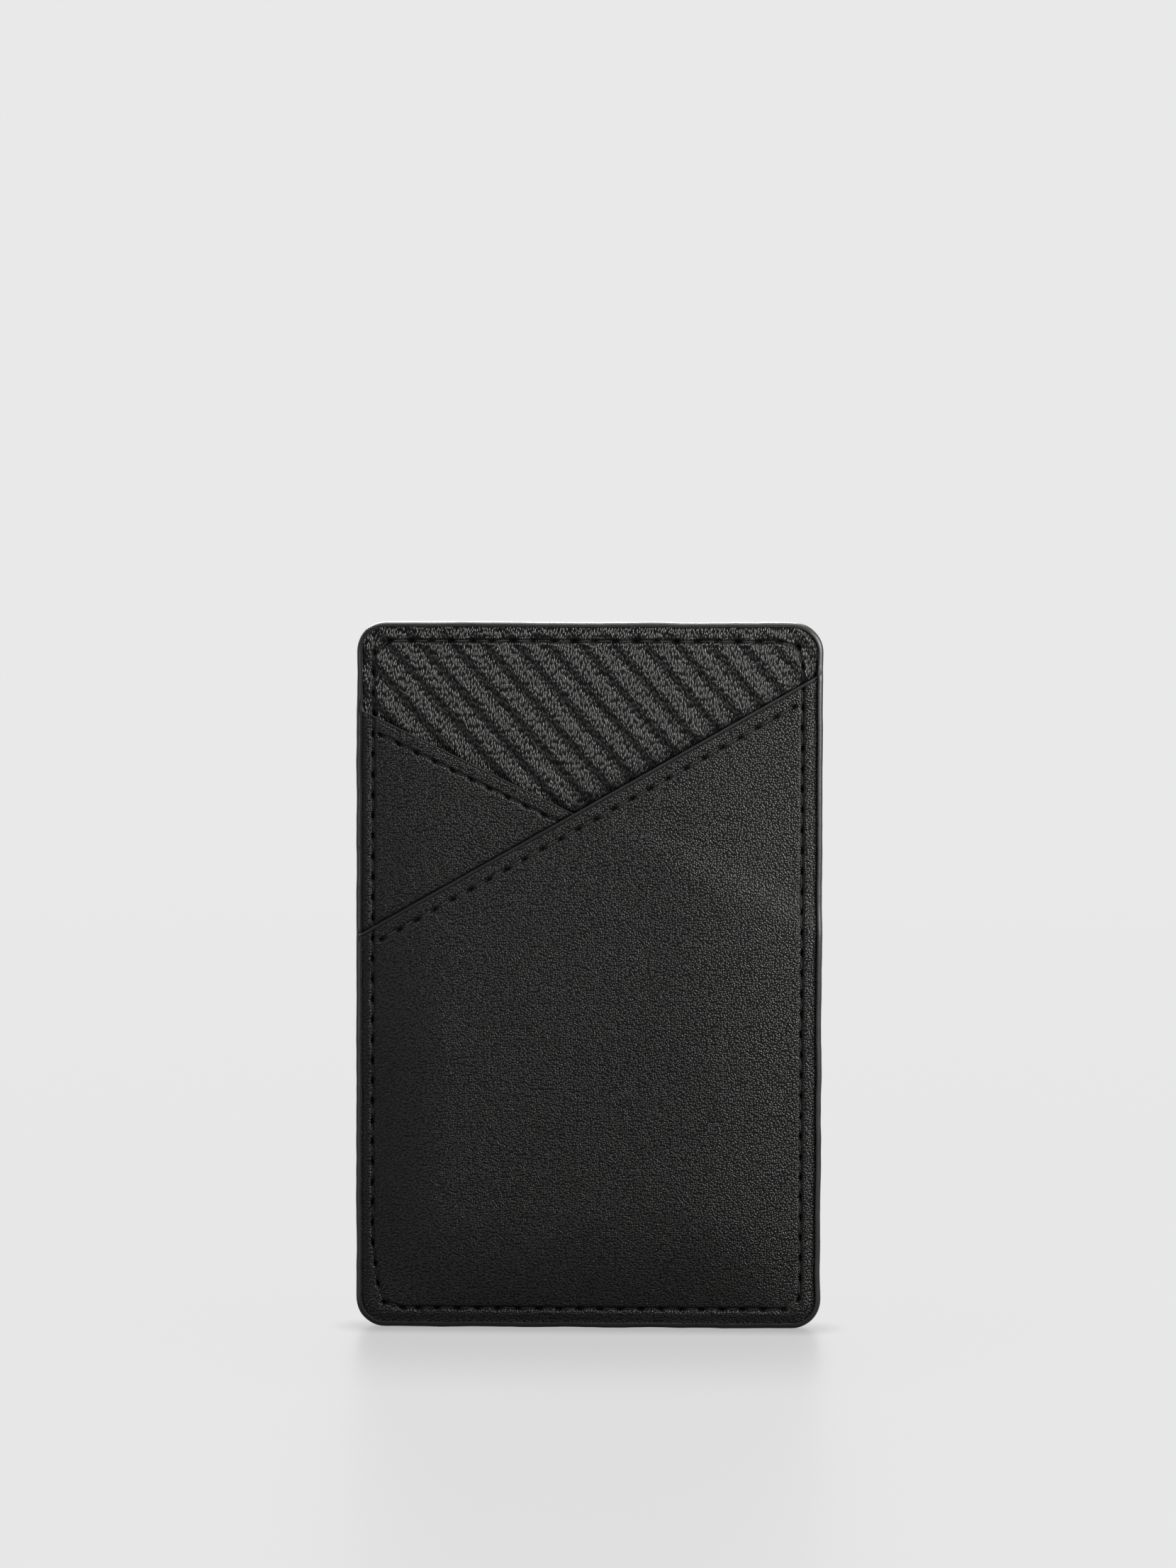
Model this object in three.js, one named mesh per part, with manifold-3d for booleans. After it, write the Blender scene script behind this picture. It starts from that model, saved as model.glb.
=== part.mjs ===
// A slim upright card holder in black leather. Two slanting card pockets lie over a ribbed
// facing, and one seam and one painted edge run all the way round.
// Local axes: X across, Y up, Z towards the front. The last group turns Y up into Z up.
// Millimetres. The origin is at the middle of the bottom edge, half way through the thickness.
import * as THREE from "three";
import { mergeVertices } from "three/addons/utils/BufferGeometryUtils.js";
import Module from "manifold-3d";

const wasm = await Module();
wasm.setup();

// Outline
const WIDTH = 66;
const HEIGHT = 100.3;
const CORNER_RADIUS = 4.2;

// Layers, back to front. A pocket is a leather panel with a thin lining glued inside it.
const BACK_LEATHER = 0.7;
const BOARD = 0.35;
const FACING = 0.85;
const POCKET_LEATHER = 0.65;
const LINING = 0.1;
const GLUE = 0.05;
const CARD_ROOM = 0.8;

// Ribs pressed into the facing, running down to the right
const RIB_PITCH = 3.43;
const RIB_DEPTH = 0.3;
const RIB_ANGLE = THREE.MathUtils.degToRad(49);
const RIB_CROWN_SHARE = 0.62;

// Each pocket is pressed flat along its three closed sides and stands off inside them.
const PRESSED_MARGIN = 4;
const POCKET_WALL_SLOPE = 1.35;
const POCKET_CORNER_RADIUS = 1.5;

// Pocket mouths: the height where each cut crosses the middle of the holder, and its slope
const FRONT_MOUTH = { height: 74.5, slope: 0.5688 };
const MIDDLE_MOUTH = { height: 72.14, slope: -0.485 };
const MOUTH_STITCH_DROP = { front: 2.1, middle: 2.0 };

// The front panel steps down past the hidden end of the middle mouth over this run.
const STEP_RUN = 1.5;

// Painted edges. The rim is rounded over at the front and back, so the holder lies down
// on its back and doesn't stand by itself.
const RIM_PAINT = 0.7;
const RIM_ROUND = { inward: 0.5, share: 0.4 };
const MOUTH_PAINT = 0.4;
const FIT = 0.03;

// Seams
const SEAM_INSET = { left: 2.4, right: 3.0, top: 2.75, bottom: 2.8 };
const SEAM_CORNER_CUT = 1.6;
const SEAM_START_GAP = 0.6;
const SEAM_STEP_CLEAR = 1;
const SEAM_STEP_RUN = 1.4;
const THREAD = 0.3;
const THREAD_SIDES = 8;
const THREAD_SINK = 0.03;
const GROOVE_WIDTH = 0.5;
const GROOVE_DEPTH = 0.36;
const INNER_GROOVE_DEPTH = 0.32;

// Further than any part of the holder, for cutters
const FAR = 200;

// Heights of the layers' faces along Z, worked out from the thicknesses
const pocketSheet = POCKET_LEATHER + LINING;
const bodyThickness = BACK_LEATHER + GLUE + BOARD + GLUE + FACING;
const thickness = bodyThickness + 2 * (CARD_ROOM + pocketSheet);
const backFace = -thickness / 2;
const boardFace = backFace + BACK_LEATHER + GLUE;
const facingBack = boardFace + BOARD + GLUE;
const facingTop = backFace + bodyThickness;

const middle = {
  marginTop: facingTop + GLUE + pocketSheet,
  wallFoot: facingTop,
  crown: facingTop + CARD_ROOM + pocketSheet,
};
const front = {
  marginTop: middle.marginTop + GLUE + pocketSheet,
  marginTopPastMiddle: facingTop + GLUE + pocketSheet,
  wallFoot: middle.wallFoot + GLUE + pocketSheet,
  crown: middle.crown + CARD_ROOM + pocketSheet,
};

// Turns a closed three.js geometry into a solid that can be cut and joined.
function solid(geometry) {
  const bare = geometry.clone();
  bare.deleteAttribute("normal");
  bare.deleteAttribute("uv");
  const merged = mergeVertices(bare, 1e-4);
  const mesh = new wasm.Mesh({
    numProp: 3,
    vertProperties: merged.attributes.position.array,
    triVerts: new Uint32Array(merged.index.array),
  });
  return new wasm.Manifold(mesh);
}

// An upright rectangle with round corners, drawn a given distance inside the outline.
function outline(inset, radius = CORNER_RADIUS - inset) {
  const left = -WIDTH / 2 + inset;
  const right = WIDTH / 2 - inset;
  const bottom = inset;
  const top = HEIGHT - inset;
  const quarter = Math.PI / 2;
  const shape = new THREE.Shape();
  shape.moveTo(left + radius, bottom);
  shape.absarc(right - radius, bottom + radius, radius, -quarter, 0);
  shape.absarc(right - radius, top - radius, radius, 0, quarter);
  shape.absarc(left + radius, top - radius, radius, quarter, 2 * quarter);
  shape.absarc(left + radius, bottom + radius, radius, 2 * quarter, 3 * quarter);
  return shape;
}

function prism(shape, from, to) {
  const options = { depth: to - from, bevelEnabled: false, curveSegments: 6 };
  return solid(new THREE.ExtrudeGeometry(shape, options).translate(0, 0, from));
}

function sheet(inset, from, to) {
  return prism(outline(inset), from, to);
}

// The painted rim of a stack of layers between two faces
function ring(from, to) {
  const round = (to - from) * RIM_ROUND.share;
  const options = {
    depth: to - from - 2 * round,
    bevelThickness: round,
    bevelSize: RIM_ROUND.inward,
    bevelSegments: 3,
    curveSegments: 6,
  };
  const shape = outline(RIM_ROUND.inward);
  const plate = new THREE.ExtrudeGeometry(shape, options).translate(0, 0, from + round);
  return solid(plate).subtract(sheet(RIM_PAINT, from - 1, to + 1));
}

// Everything below a mouth's line, moved up by a distance square to the line.
function below(mouth, shift = 0) {
  const lift = shift * Math.hypot(1, mouth.slope);
  const level = (x) => mouth.height + lift + mouth.slope * x;
  const points = [
    new THREE.Vector2(-FAR, -FAR),
    new THREE.Vector2(FAR, -FAR),
    new THREE.Vector2(FAR, level(FAR)),
    new THREE.Vector2(-FAR, level(-FAR)),
  ];
  return prism(new THREE.Shape(points), -FAR, FAR);
}

// A straight strip along a mouth, between two distances from its line.
function band(mouth, low, high) {
  return below(mouth, high).subtract(below(mouth, low));
}

// The raised middle of a pocket: straight sides up to foot, then walls that lean in to crown.
function raised(foot, crown) {
  const height = crown - foot;
  const run = height / POCKET_WALL_SLOPE;
  const shape = outline(PRESSED_MARGIN + run, POCKET_CORNER_RADIUS);
  const options = {
    depth: FAR,
    bevelThickness: height,
    bevelSize: run,
    bevelSegments: 1,
    curveSegments: 4,
  };
  return solid(new THREE.ExtrudeGeometry(shape, options).translate(0, 0, foot - FAR));
}

// All the space under a pocket's outer face, or under a face a given distance beneath it.
function underMiddle(drop) {
  const margin = sheet(0, -FAR, middle.marginTop - drop);
  return margin.add(raised(middle.wallFoot - drop, middle.crown - drop));
}

function underFront(drop) {
  const overMiddle = sheet(0, -FAR, front.marginTop - drop);
  const pastMiddle = sheet(0, -FAR, front.marginTopPastMiddle - drop);
  const margin = overMiddle.intersect(below(MIDDLE_MOUTH, STEP_RUN - drop)).add(pastMiddle);
  return margin.add(raised(front.wallFoot - drop, front.crown - drop));
}

function between(under, outerDrop, innerDrop) {
  return under(outerDrop).subtract(under(innerDrop));
}

// The seam's path round the edge, as a shape, and the groove that the thread lies in
const seam = {
  left: -WIDTH / 2 + SEAM_INSET.left,
  right: WIDTH / 2 - SEAM_INSET.right,
  bottom: SEAM_INSET.bottom,
  top: HEIGHT - SEAM_INSET.top,
};

function seamOutline(grow) {
  const cut = SEAM_CORNER_CUT;
  const [left, right] = [seam.left - grow, seam.right + grow];
  const [bottom, top] = [seam.bottom - grow, seam.top + grow];
  return [
    new THREE.Vector2(left + cut, bottom),
    new THREE.Vector2(right - cut, bottom),
    new THREE.Vector2(right, bottom + cut),
    new THREE.Vector2(right, top - cut),
    new THREE.Vector2(right - cut, top),
    new THREE.Vector2(left + cut, top),
    new THREE.Vector2(left, top - cut),
    new THREE.Vector2(left, bottom + cut),
  ];
}

function seamGroove(from, to) {
  const outer = prism(new THREE.Shape(seamOutline(GROOVE_WIDTH / 2)), from, to);
  const inner = prism(new THREE.Shape(seamOutline(-GROOVE_WIDTH / 2)), from - 1, to + 1);
  return outer.subtract(inner);
}

// How far a row beside a mouth reaches to each side: it stays on the raised part of its pocket.
function rowReach(levels) {
  const wallRun = (levels.crown - levels.wallFoot) / POCKET_WALL_SLOPE;
  return WIDTH / 2 - PRESSED_MARGIN - wallRun - THREAD;
}

function rowGroove(mouth, drop, levels) {
  const reach = rowReach(levels) + THREAD;
  const corners = [
    new THREE.Vector2(-reach, 0),
    new THREE.Vector2(reach, 0),
    new THREE.Vector2(reach, HEIGHT),
    new THREE.Vector2(-reach, HEIGHT),
  ];
  const strip = band(mouth, -drop - GROOVE_WIDTH / 2, -drop + GROOVE_WIDTH / 2);
  return strip.intersect(prism(new THREE.Shape(corners), -FAR, FAR));
}

// Back, board and ribbed facing
const inside = (from, to) => sheet(RIM_PAINT + FIT, from, to);

function backPanel() {
  const whole = inside(backFace, backFace + BACK_LEATHER);
  return whole.subtract(seamGroove(backFace - 1, backFace + GROOVE_DEPTH));
}

function ribSurface() {
  const ribs = Math.ceil((WIDTH + HEIGHT) / RIB_PITCH);
  const start = (-ribs / 2) * RIB_PITCH;
  const groove = -RIB_DEPTH;
  const shape = new THREE.Shape();
  shape.moveTo(start, groove);
  for (let rib = 0; rib < ribs; rib++) {
    const from = start + rib * RIB_PITCH;
    const to = from + RIB_PITCH;
    shape.quadraticCurveTo(from, 0, from + RIB_PITCH * RIB_CROWN_SHARE, 0);
    shape.quadraticCurveTo(to, 0, to, groove);
  }
  shape.lineTo(-start, -FAR);
  shape.lineTo(start, -FAR);
  const options = { depth: 2 * FAR, bevelEnabled: false, curveSegments: 3 };
  const geometry = new THREE.ExtrudeGeometry(shape, options).translate(0, 0, -FAR);
  // The profile's X becomes the direction across the ribs, up to the right.
  geometry.rotateX(Math.PI / 2);
  geometry.rotateZ(Math.PI / 2 - RIB_ANGLE);
  return solid(geometry.translate(0, HEIGHT / 2, facingTop));
}

function ribbedFacing() {
  const whole = inside(facingBack, facingTop);
  return whole.intersect(ribSurface()).subtract(seamGroove(facingTop - GROOVE_DEPTH, FAR));
}

// A pocket's leather, lining and mouth paint are cut from the same pressed form.
function pocket(under, levels, mouth, drop, clear) {
  const body = below(mouth, -MOUTH_PAINT - FIT).intersect(inside(facingTop + GLUE, FAR));
  const groove = rowGroove(mouth, drop, levels);
  const outerGroove = between(under, -1, GROOVE_DEPTH).intersect(groove);
  const depth = pocketSheet - INNER_GROOVE_DEPTH;
  const innerGroove = between(under, depth, pocketSheet + 1).intersect(groove);
  const cut = (piece) => piece.intersect(body).subtract(clear);
  const panel = cut(between(under, 0, POCKET_LEATHER));
  const lining = cut(between(under, POCKET_LEATHER + FIT / 2, pocketSheet));
  const lip = band(mouth, -MOUTH_PAINT, 0).intersect(inside(facingTop + GLUE, FAR));
  return {
    panel: panel.subtract(outerGroove).subtract(innerGroove),
    lining: lining.subtract(innerGroove),
    paint: between(under, 0, pocketSheet).intersect(lip).subtract(clear),
  };
}

const nothing = sheet(0, -FAR, -FAR + 1);
const { front: frontDrop, middle: middleDrop } = MOUTH_STITCH_DROP;
const middlePocket = pocket(underMiddle, middle, MIDDLE_MOUTH, middleDrop, nothing);
const middleEnvelope = underMiddle(-GLUE).intersect(below(MIDDLE_MOUTH, GLUE));
const frontPocket = pocket(underFront, front, FRONT_MOUTH, frontDrop, middleEnvelope);

// The round-the-edge groove is cut only where each panel is the outer one.
const middleSeam = seamGroove(middle.marginTop - GROOVE_DEPTH, FAR).subtract(below(FRONT_MOUTH));
const frontSeam = seamGroove(front.marginTop - GROOVE_DEPTH, FAR).add(
  seamGroove(front.marginTopPastMiddle - GROOVE_DEPTH, FAR).subtract(
    below(MIDDLE_MOUTH, STEP_RUN),
  ),
);

function rimPaint() {
  const overMiddle = ring(backFace, front.marginTop).intersect(below(MIDDLE_MOUTH, STEP_RUN));
  const pastMiddle = ring(backFace, front.marginTopPastMiddle);
  return ring(backFace, facingTop)
    .add(ring(backFace, middle.marginTop).intersect(below(MIDDLE_MOUTH)))
    .add(overMiddle.add(pastMiddle).intersect(below(FRONT_MOUTH)));
}

// A route through fixed points, with a step of the cord at each point.
class Route extends THREE.Curve {
  constructor(points) {
    super();
    this.points = points;
  }

  getPoint(t) {
    const place = t * (this.points.length - 1);
    const index = Math.min(Math.floor(place), this.points.length - 2);
    return this.points[index].clone().lerp(this.points[index + 1], place - index);
  }

  getPointAt(t) {
    return this.getPoint(t);
  }

  getTangentAt(t) {
    const reach = 0.25 / (this.points.length - 1);
    const ahead = this.getPoint(Math.min(1, t + reach));
    return ahead.sub(this.getPoint(Math.max(0, t - reach))).normalize();
  }
}

function cord(points) {
  const section = new THREE.Shape();
  section.absarc(0, 0, THREAD / 2, 0, 2 * Math.PI);
  const options = {
    steps: points.length - 1,
    curveSegments: THREAD_SIDES,
    bevelEnabled: false,
    extrudePath: new Route(points),
  };
  return solid(new THREE.ExtrudeGeometry(section, options));
}

// The thread's middle lies this far under the face, so that the groove holds all of it.
const threadDrop = THREAD / 2 + THREAD_SINK;

// The height where a mouth's line crosses an upright side of the seam
function crossing(mouth, x, shift) {
  return mouth.height + mouth.slope * x + shift;
}

function needleSeam() {
  const corners = seamOutline(0);
  const levels = {
    over: front.marginTop - threadDrop,
    past: front.marginTopPastMiddle - threadDrop,
    middle: middle.marginTop - threadDrop,
    facing: facingTop - threadDrop,
  };
  const at = (corner, z) => new THREE.Vector3(corner.x, corner.y, z);
  // The thread runs on past a panel's edge before it comes down to the next layer.
  const step = (x, y, high, low) => [
    new THREE.Vector3(x, y + SEAM_STEP_CLEAR, high),
    new THREE.Vector3(x, y + SEAM_STEP_CLEAR + SEAM_STEP_RUN, low),
  ];
  const { left, right } = seam;
  const rightSide = [
    ...step(right, crossing(MIDDLE_MOUTH, right, STEP_RUN), levels.over, levels.past),
    ...step(right, crossing(FRONT_MOUTH, right, 0), levels.past, levels.facing),
  ];
  const leftSide = [
    ...step(left, crossing(FRONT_MOUTH, left, 0), levels.over, levels.middle),
    ...step(left, crossing(MIDDLE_MOUTH, left, 0), levels.middle, levels.facing),
  ];
  return cord([
    new THREE.Vector3(SEAM_START_GAP / 2, seam.bottom, levels.over),
    at(corners[1], levels.over),
    at(corners[2], levels.over),
    ...rightSide,
    ...corners.slice(3, 7).map((corner) => at(corner, levels.facing)),
    ...leftSide.reverse(),
    at(corners[7], levels.over),
    at(corners[0], levels.over),
    new THREE.Vector3(-SEAM_START_GAP / 2, seam.bottom, levels.over),
  ]);
}

function bobbinSeam() {
  const level = backFace + threadDrop;
  const corners = seamOutline(0).map((p) => new THREE.Vector3(p.x, p.y, level));
  const start = new THREE.Vector3(SEAM_START_GAP / 2, seam.bottom, level);
  const end = new THREE.Vector3(-SEAM_START_GAP / 2, seam.bottom, level);
  return cord([start, ...corners.slice(1), corners[0], end]);
}

// A row beside a mouth lies on the flat, raised part of its pocket, between the side walls.
function mouthRow(mouth, drop, level, reach) {
  const height = (x) => mouth.height + mouth.slope * x - drop * Math.hypot(1, mouth.slope);
  return cord([
    new THREE.Vector3(-reach, height(-reach), level),
    new THREE.Vector3(reach, height(reach), level),
  ]);
}

function mouthRows(mouth, drop, levels) {
  const reach = rowReach(levels);
  const innerFace = levels.crown - pocketSheet;
  return {
    needle: mouthRow(mouth, drop, levels.crown - threadDrop, reach),
    bobbin: mouthRow(mouth, drop, innerFace + THREAD / 2, reach),
  };
}

const middleRows = mouthRows(MIDDLE_MOUTH, middleDrop, middle);
const frontRows = mouthRows(FRONT_MOUTH, frontDrop, front);

// Finishes
const finish = (color, roughness) => () =>
  new THREE.MeshStandardMaterial({ color, roughness, metalness: 0 });
const grainedLeather = finish("#1b1b1c", 0.5);
const ribbedLeather = finish("#202021", 0.45);
const liningCloth = finish("#141415", 0.8);
const board = finish("#3a3531", 0.9);
const edgePaint = finish("#2b2b2c", 0.4);
const thread = finish("#0e0e0f", 0.6);

function piece(name, body, material) {
  const { numProp, vertProperties, triVerts } = body.getMesh();
  const positions = new Float32Array((vertProperties.length / numProp) * 3);
  for (let i = 0; i < positions.length / 3; i++)
    positions.set(vertProperties.subarray(i * numProp, i * numProp + 3), i * 3);
  const geometry = new THREE.BufferGeometry();
  geometry.setAttribute("position", new THREE.BufferAttribute(positions, 3));
  geometry.setIndex(new THREE.BufferAttribute(new Uint32Array(triVerts), 1));
  const flat = geometry.toNonIndexed();
  flat.computeVertexNormals();
  const mesh = new THREE.Mesh(flat, material());
  mesh.name = name;
  return mesh;
}

const holder = new THREE.Group();
holder.add(
  piece("back_panel", backPanel(), grainedLeather),
  piece("core_board", inside(boardFace, boardFace + BOARD), board),
  piece("ribbed_facing", ribbedFacing(), ribbedLeather),
  piece("middle_pocket_lining", middlePocket.lining, liningCloth),
  piece("middle_pocket_panel", middlePocket.panel.subtract(middleSeam), grainedLeather),
  piece("middle_mouth_edge_paint", middlePocket.paint.subtract(middleSeam), edgePaint),
  piece("middle_mouth_needle_thread", middleRows.needle, thread),
  piece("middle_mouth_bobbin_thread", middleRows.bobbin, thread),
  piece("front_pocket_lining", frontPocket.lining, liningCloth),
  piece("front_pocket_panel", frontPocket.panel.subtract(frontSeam), grainedLeather),
  piece("front_mouth_edge_paint", frontPocket.paint.subtract(frontSeam), edgePaint),
  piece("front_mouth_needle_thread", frontRows.needle, thread),
  piece("front_mouth_bobbin_thread", frontRows.bobbin, thread),
  piece("perimeter_edge_paint", rimPaint(), edgePaint),
  piece("perimeter_needle_thread", needleSeam(), thread),
  piece("perimeter_bobbin_thread", bobbinSeam(), thread),
);

const upright = new THREE.Group();
upright.rotation.x = Math.PI / 2;
upright.add(holder);

const group = new THREE.Group();
group.add(upright);
export default group;
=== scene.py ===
import math
import bmesh
import bpy
from mathutils import Matrix, Quaternion, Vector, noise
from mathutils.kdtree import KDTree


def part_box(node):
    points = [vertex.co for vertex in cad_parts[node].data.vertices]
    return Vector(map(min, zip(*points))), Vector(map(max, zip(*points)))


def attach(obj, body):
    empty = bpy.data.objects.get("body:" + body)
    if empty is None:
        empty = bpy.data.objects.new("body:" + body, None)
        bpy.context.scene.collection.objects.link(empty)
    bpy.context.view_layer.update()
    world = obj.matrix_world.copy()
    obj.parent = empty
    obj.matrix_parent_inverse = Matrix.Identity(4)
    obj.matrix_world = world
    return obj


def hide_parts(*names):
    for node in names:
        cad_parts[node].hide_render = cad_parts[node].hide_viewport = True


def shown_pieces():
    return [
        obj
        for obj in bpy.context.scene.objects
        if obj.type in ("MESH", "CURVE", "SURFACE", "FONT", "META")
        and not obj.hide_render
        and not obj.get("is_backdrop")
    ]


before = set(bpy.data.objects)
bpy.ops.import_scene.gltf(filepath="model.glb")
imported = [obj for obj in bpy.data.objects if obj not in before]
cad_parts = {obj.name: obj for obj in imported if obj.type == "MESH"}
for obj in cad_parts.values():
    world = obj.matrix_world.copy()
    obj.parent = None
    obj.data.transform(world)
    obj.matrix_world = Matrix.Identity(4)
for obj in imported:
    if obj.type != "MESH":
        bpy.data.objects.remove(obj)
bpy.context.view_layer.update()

# Back panel
# The plain leather that closes the back: a fine pebbled calf 0.7 mm thick, glued to the
# board. The seam round the edge goes through all layers and pulls a row of dimples into it.


def span(node):
    """A CAD node's lowest and highest corners in millimetres."""
    low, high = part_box(node)
    return low * 1000, high * 1000


rim_low, rim_high = span("perimeter_edge_paint")
back_low, back_high = span("back_panel")
seam_low, seam_high = span("perimeter_needle_thread")
HALF_WIDTH = rim_high.x
TALL = rim_high.z
CORNER = 4.2
HALF_THREAD = 0.15
SEAM_RADIUS = 2.3
SEAM_STITCH = 2.9
BACK_FACE = -back_high.y
BACK_INSIDE = -back_low.y
LEATHER_EDGE = 0.7
GROOVE = 0.24
HOLE_LONG = 0.47
HOLE_WIDE = 0.26
HOLE_OFF = 0.08


def ease(value, start, end):
    """Goes smoothly from 0 at start to 1 at end."""
    share = min(1, max(0, (value - start) / (end - start)))
    return share * share * (3 - 2 * share)


def bell(distance, width):
    return math.exp(-((distance / width) ** 2))


def ripple(x, z, length, seed=0):
    """A slow unevenness between -1 and 1, as hand-worked leather has."""
    return noise.noise(Vector((x / length, z / length, seed)))


def inside(x, z):
    """How far a point lies inside the holder's outline."""
    out_x = abs(x) - (HALF_WIDTH - CORNER)
    out_z = abs(z - TALL / 2) - (TALL / 2 - CORNER)
    corner = math.hypot(max(out_x, 0), max(out_z, 0))
    return CORNER - corner - min(max(out_x, out_z), 0)


def rounded(x, z):
    """Moves a point of an upright sheet's corner square onto its round corner."""
    radius = CORNER - LEATHER_EDGE
    corner_x = HALF_WIDTH - CORNER
    corner_z = TALL / 2 - CORNER
    out_x = (abs(x) - corner_x) / radius
    out_z = (abs(z - TALL / 2) - corner_z) / radius
    if min(out_x, out_z) <= 0:
        return x, z
    reach = radius * max(out_x, out_z) / math.hypot(out_x, out_z)
    x = math.copysign(corner_x + reach * out_x, x)
    return x, TALL / 2 + math.copysign(corner_z + reach * out_z, z - TALL / 2)


def round_path(left, right, bottom, top, radius):
    """Points round an upright rectangle with round corners, from its bottom right corner."""
    centres = (
        (right - radius, bottom + radius),
        (right - radius, top - radius),
        (left + radius, top - radius),
        (left + radius, bottom + radius),
    )
    points = []
    for quarter, centre in enumerate(centres):
        for turn in range(-90, 1, 9):
            angle = math.radians(90 * quarter + turn)
            points.append(Vector(centre) + radius * Vector((math.cos(angle), math.sin(angle))))
    return points + points[:1]


def paced(points, pace):
    """Points at an even pace along a line."""
    lengths = [(b - a).length for a, b in zip(points, points[1:])]
    count = round(sum(lengths) / pace)
    places, covered, index = [points[0]], 0, 0
    for step in range(1, count):
        goal = sum(lengths) * step / count
        while covered + lengths[index] < goal:
            covered += lengths[index]
            index += 1
        share = (goal - covered) / lengths[index]
        places.append(points[index].lerp(points[index + 1], share))
    return places + [points[-1]]


class StitchRow:
    """The holes of one row of stitches, and how they pull in the leather."""

    def __init__(self, holes, tilt=0.0):
        self.tilt = Matrix.Rotation(tilt, 2)
        self.stitches = list(zip(holes, holes[1:]))
        self.tree = KDTree(len(self.stitches))
        for index, (start, end) in enumerate(self.stitches):
            self.tree.insert(((start + end) / 2).to_3d(), index)
        self.tree.balance()

    def pull(self, x, z):
        """How strongly the thread and the nearest hole pull at a point, each from 0 to 1."""
        point = Vector((x, z))
        groove = hole = 0
        for _, index, _ in self.tree.find_range((x, z, 0), 2.6):
            start, end = self.stitches[index]
            along = end - start
            share = min(1, max(0, (point - start).dot(along) / along.length_squared))
            groove = max(groove, bell((point - start - along * share).length, GROOVE))
            way = self.tilt @ along.normalized()
            side = Vector((-way.y, way.x))
            for end_hole in (start, end):
                off = point - end_hole + side * HOLE_OFF
                away = math.hypot(off.dot(way) / HOLE_LONG, off.dot(side) / HOLE_WIDE)
                hole = max(hole, bell(away, 1))
        return groove, hole


def seam_holes():
    """The holes of the seam round the edge. It bows inwards above its bottom left corner."""
    path = round_path(
        seam_low.x + HALF_THREAD,
        seam_high.x - HALF_THREAD,
        seam_low.z + HALF_THREAD,
        seam_high.z - HALF_THREAD,
        SEAM_RADIUS,
    )
    holes = paced(path, SEAM_STITCH)
    for hole in holes:
        hole.x += 1.0 * ease(-hole.x, 22, 29) * ease(-hole.y, -13.5, -3.5)
        hole += 0.07 * Vector((ripple(hole.x, hole.y, 3.1), ripple(hole.x, hole.y, 3.7, 5)))
    return holes


seam = StitchRow(seam_holes())


def along(marks, place):
    """The value that lies at a place counted from mark to mark."""
    index = min(int(place), len(marks) - 2)
    return marks[index] + (marks[index + 1] - marks[index]) * (place - index)


def spaced(marks, steps):
    """Places counted from mark to mark, about one step apart between each two marks."""
    places = [0]
    for index, step in enumerate(steps):
        count = max(1, round(abs(marks[index + 1] - marks[index]) / step))
        places += [index + (part + 1) / count for part in range(count)]
    return places


def leather_sheet(across, up, marks, outer, inner, painted_shade_at=lambda x, z: 0):
    """A closed sheet of leather. Its faces are heights in front of the holder's middle."""
    sheet = bmesh.new()
    bmesh.ops.create_grid(sheet, x_segments=len(across) - 1, y_segments=len(up) - 1, size=0.5)
    bmesh.ops.solidify(sheet, geom=sheet.faces[:], thickness=1)
    # Each outer vertex keeps how much painted shade its leather takes; the finish darkens it by
    # that much.
    shade_layer = sheet.verts.layers.float.new("painted_shade")
    for vertex in sheet.verts:
        x = across[round((vertex.co.x + 0.5) * (len(across) - 1))]
        z = along(marks(x), up[round((vertex.co.y + 0.5) * (len(up) - 1))])
        x, z = rounded(x, z)
        face = inner if vertex.co.z < -0.5 else outer
        vertex[shade_layer] = painted_shade_at(x, z) if face is outer else 0
        vertex.co = (x, -face(x, z), z)
    return sheet


def piece(name, shape, finish, slot, *nodes):
    """Makes an object of a shape in millimetres, which stands for its CAD nodes."""
    bmesh.ops.scale(shape, vec=(0.001, 0.001, 0.001), verts=shape.verts)
    bmesh.ops.recalc_face_normals(shape, faces=shape.faces)
    for face in shape.faces:
        face.smooth = True
    for edge in shape.edges:
        edge.smooth = edge.calc_face_angle(0) < 0.9
    mesh = bpy.data.meshes.new(name)
    shape.to_mesh(mesh)
    shape.free()
    mesh.materials.append(finish)
    made = bpy.data.objects.new(name, mesh)
    bpy.context.scene.collection.objects.link(made)
    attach(made, "root")
    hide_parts(*nodes)
    return made


def grey(value, warmth=0.0):
    return (value * (1 + warmth), value, value * (1 - warmth), 1)


class Value:
    """A value that changes over a surface. Arithmetic on it adds Math nodes."""

    def __init__(self, finish, socket):
        self.finish = finish
        self.socket = socket

    def math(self, operation, first, second=0.0):
        settings = {"operation": operation}
        return self.finish.node("ShaderNodeMath", settings, {0: first, 1: second})

    def __add__(self, other):
        return self.math("ADD", self, other)

    __radd__ = __add__

    def __mul__(self, other):
        return self.math("MULTIPLY", self, other)

    __rmul__ = __mul__

    def __sub__(self, other):
        return self.math("SUBTRACT", self, other)

    def __rsub__(self, other):
        return self.math("SUBTRACT", other, self)

    def __pow__(self, other):
        return self.math("POWER", self, other)


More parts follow.
